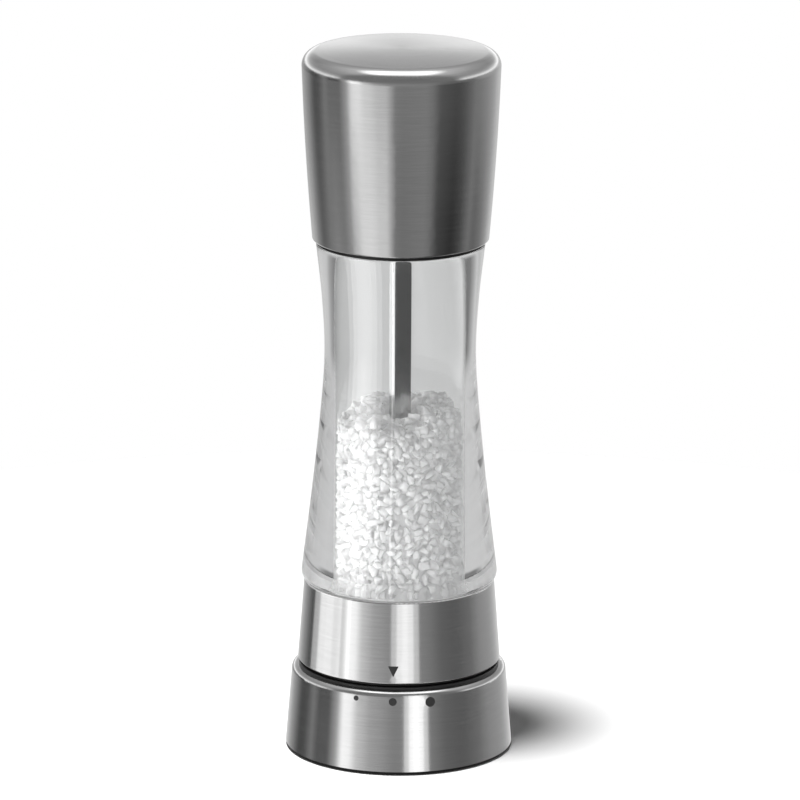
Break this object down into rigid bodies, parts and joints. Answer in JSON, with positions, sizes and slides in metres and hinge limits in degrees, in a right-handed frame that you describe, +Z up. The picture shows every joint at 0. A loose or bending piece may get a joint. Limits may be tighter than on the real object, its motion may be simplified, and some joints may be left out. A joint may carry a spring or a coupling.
{
  "type": "salt_and_pepper_mill",
  "caption": "Twist-top salt or pepper mill: brushed steel cap and base ring, clear waisted hopper, and a conical ceramic burr set from fine to coarse by turning the base.",
  "frame": {"origin": "centre of the base, on the surface that the mill stands on", "axes": "+Z up along the grinding axis, -Y towards the pointer and the grind marks, +X to the right seen from the front"},
  "size_m": [0.0604, 0.0604, 0.19],
  "materials": {
    "steel": "satin",
    "spring_steel": "polished",
    "aluminium": "satin",
    "clear_acrylic": "polished",
    "black_plastic": "matte",
    "grey_plastic": "matte",
    "black_rubber": "matte",
    "ceramic": "matte",
    "marking_ink": "satin",
    "salt": "satin"
  },
  "bodies": {
    "body": {"collar_shell": "steel", "pointer_mark": "marking_ink", "grinder_housing": "black_plastic", "snap_ring": "spring_steel", "detent_spring": "spring_steel", "outer_burr": "ceramic", "burr_retainer": "grey_plastic", "shaft_spider": "grey_plastic", "spider_screws": "spring_steel", "hopper_seal": "black_rubber", "hopper_body": "clear_acrylic", "salt_fill": "salt"},
    "drive": {"drive_rod": "aluminium", "shaft_bush": "black_plastic", "upper_clip": "spring_steel", "lower_clip": "spring_steel", "spring_washer": "spring_steel"},
    "cap": {"cap_shell": "steel", "cap_core": "black_plastic", "socket_clip": "spring_steel", "glide_ring": "black_plastic"},
    "rotor": {"rotor_hub": "grey_plastic", "inner_burr": "ceramic", "burr_spring": "spring_steel"},
    "carrier": {"lift_carrier": "black_plastic", "cam_pins": "spring_steel", "thrust_washer": "spring_steel"},
    "adjuster": {"base_shell": "steel", "base_core": "black_plastic", "base_cover": "black_plastic", "foot_ring": "black_rubber", "slip_ring": "grey_plastic", "grind_marks": "marking_ink"}
  },
  "joints": [
    {"name": "grind_turn", "type": "hinge", "parent": "body", "child": "drive", "pos_m": [0, 0, 0.0368], "axis": [0, 0, 1], "continuous": true},
    {"name": "cap_lift", "type": "slide", "parent": "drive", "child": "cap", "axis": [0, 0, 1], "range_m": [0, 0.05]},
    {"name": "grind_adjust", "type": "hinge", "parent": "body", "child": "adjuster", "pos_m": [0, 0, 0.0228], "axis": [0, 0, 1], "range_deg": [-20, 20]},
    {"name": "burr_lift", "type": "slide", "parent": "drive", "child": "rotor", "axis": [0, 0, 1], "range_m": [-0.00036, 0.00036], "deforming": ["burr_spring"]},
    {"name": "carrier_lift", "type": "slide", "parent": "body", "child": "carrier", "axis": [0, 0, 1], "range_m": [-0.00036, 0.00036]}
  ],
  "couplings": [
    {"joint": "burr_lift", "follows": "grind_adjust", "m_per_rad": 0.001},
    {"joint": "carrier_lift", "follows": "grind_adjust", "m_per_rad": 0.001}
  ]
}
